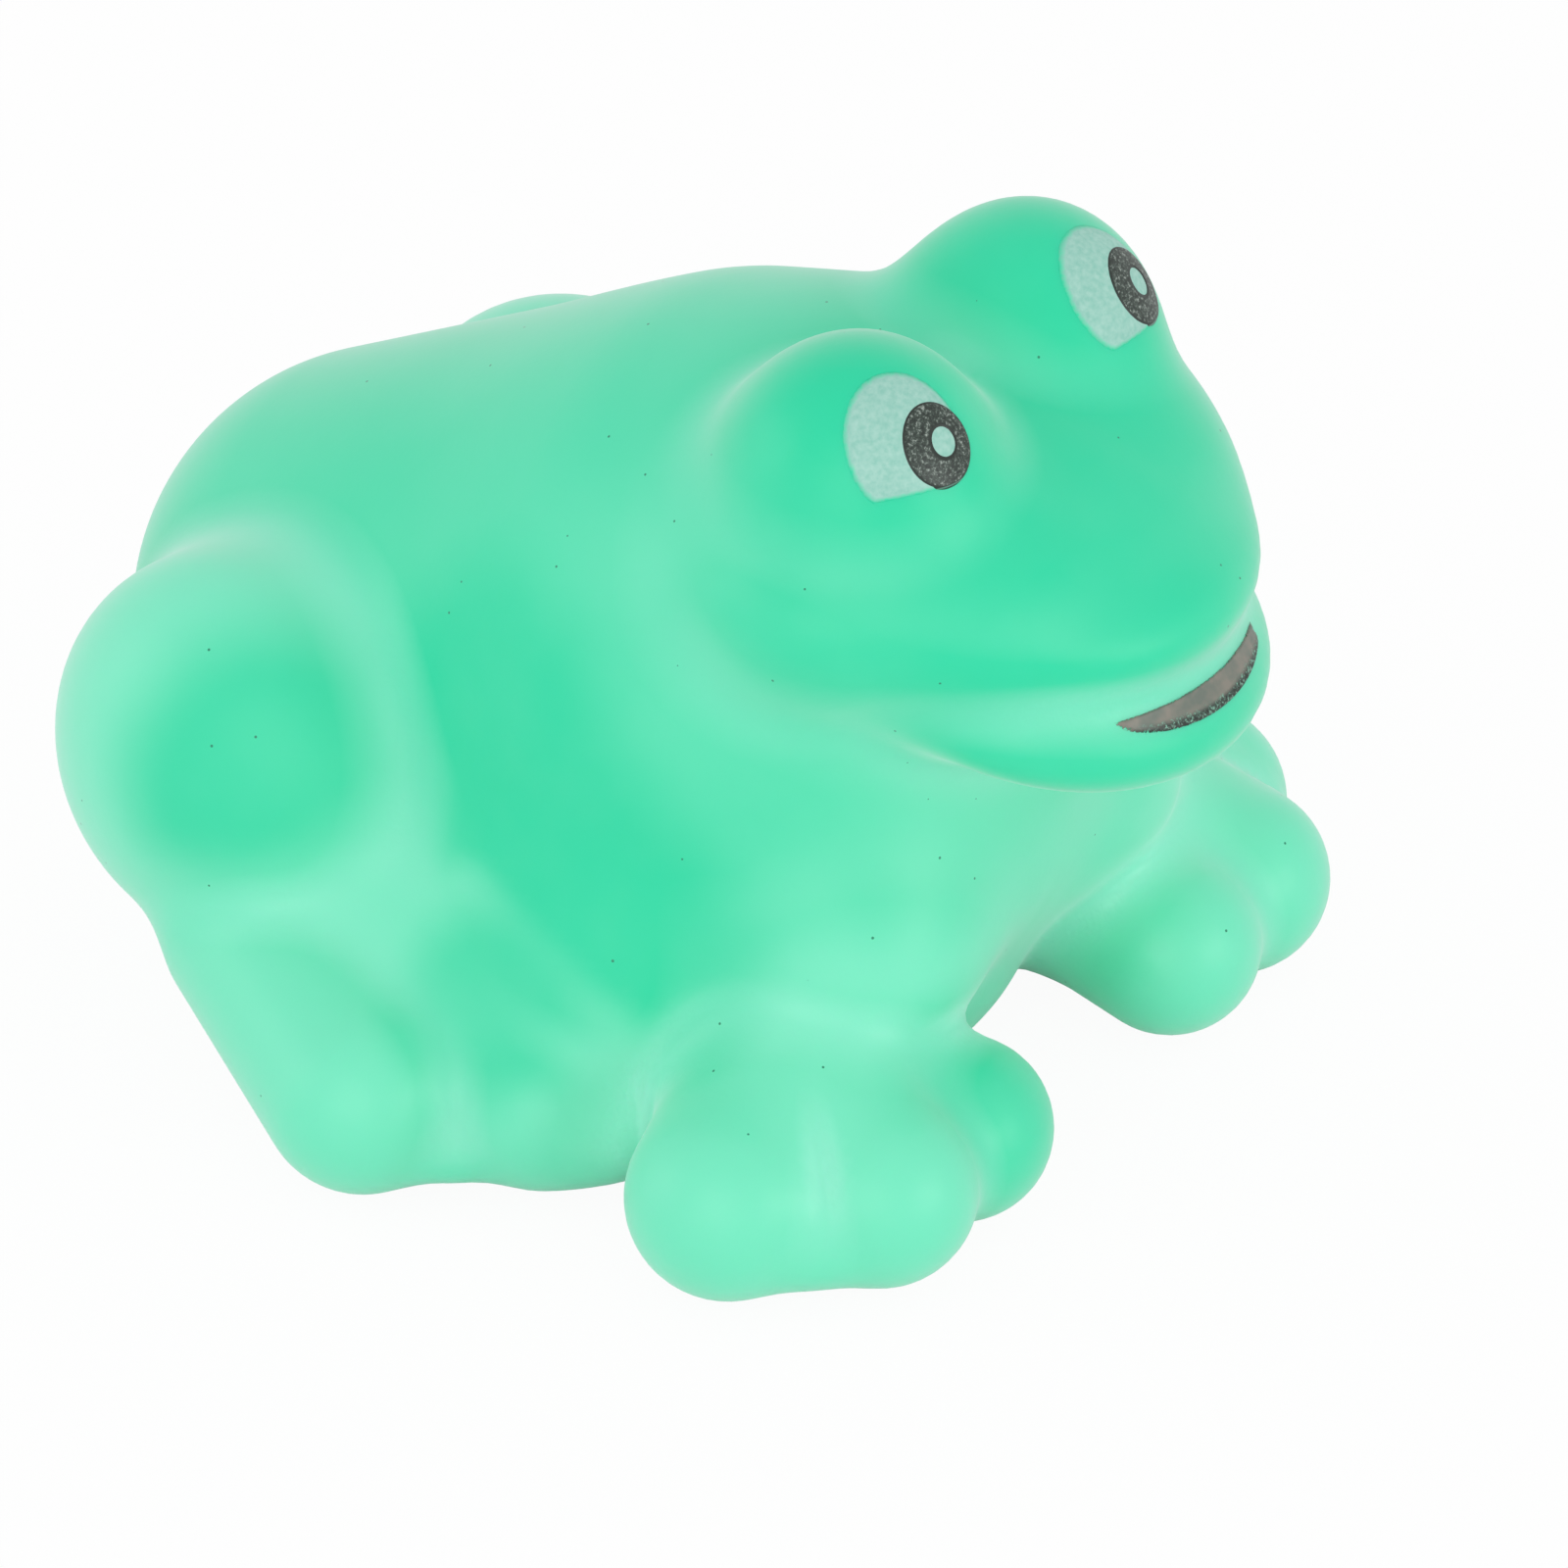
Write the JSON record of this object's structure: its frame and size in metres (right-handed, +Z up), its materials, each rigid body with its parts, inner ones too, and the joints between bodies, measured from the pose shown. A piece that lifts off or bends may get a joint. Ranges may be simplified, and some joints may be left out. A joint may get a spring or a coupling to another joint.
{
  "type": "squeaky bath toy frog",
  "caption": "Hollow soft vinyl frog that sits on splayed feet, with printed eyes and mouth and a snap-in squeaker in its belly that sounds when the body is squeezed.",
  "frame": {"origin": "on the ground, under the middle of the toy's length and width", "axes": "+Z up, -Y the way the frog looks, -X the frog's right side"},
  "size_m": [0.0506, 0.0549, 0.04],
  "materials": {
    "vinyl": "satin soft vinyl, mint green",
    "white_paint": "thin sprayed white paint, satin",
    "black_ink": "pad-printed black ink, satin",
    "squeaker_plastic": "moulded polyethylene",
    "reed_film": "thin polyester film"
  },
  "bodies": {
    "base": {"shell_lower": "vinyl", "shell_fold_band": "vinyl", "squeaker_housing": "squeaker_plastic", "reed_holder": "squeaker_plastic", "reed_wedge": "squeaker_plastic"},
    "upper": {"shell_upper": "vinyl", "eye_white_right": "white_paint", "eye_white_left": "white_paint", "pupil_right": "black_ink", "pupil_left": "black_ink", "mouth_print": "black_ink"},
    "reed": {"reed": "reed_film"}
  },
  "joints": [
    {"name": "squeeze", "type": "slide", "parent": "base", "child": "upper", "axis": [0, 0, 1], "range_m": [-0.006, 0], "stiffness_N_per_m": 800, "deforming": ["shell_fold_band"]},
    {"name": "reed_flutter", "type": "hinge", "parent": "base", "child": "reed", "pos_m": [0, -0.0008, 0.0059], "axis": [1, 0, 0], "range_deg": [-5, 2.5], "stiffness_Nm_per_rad": 0.00001}
  ]
}
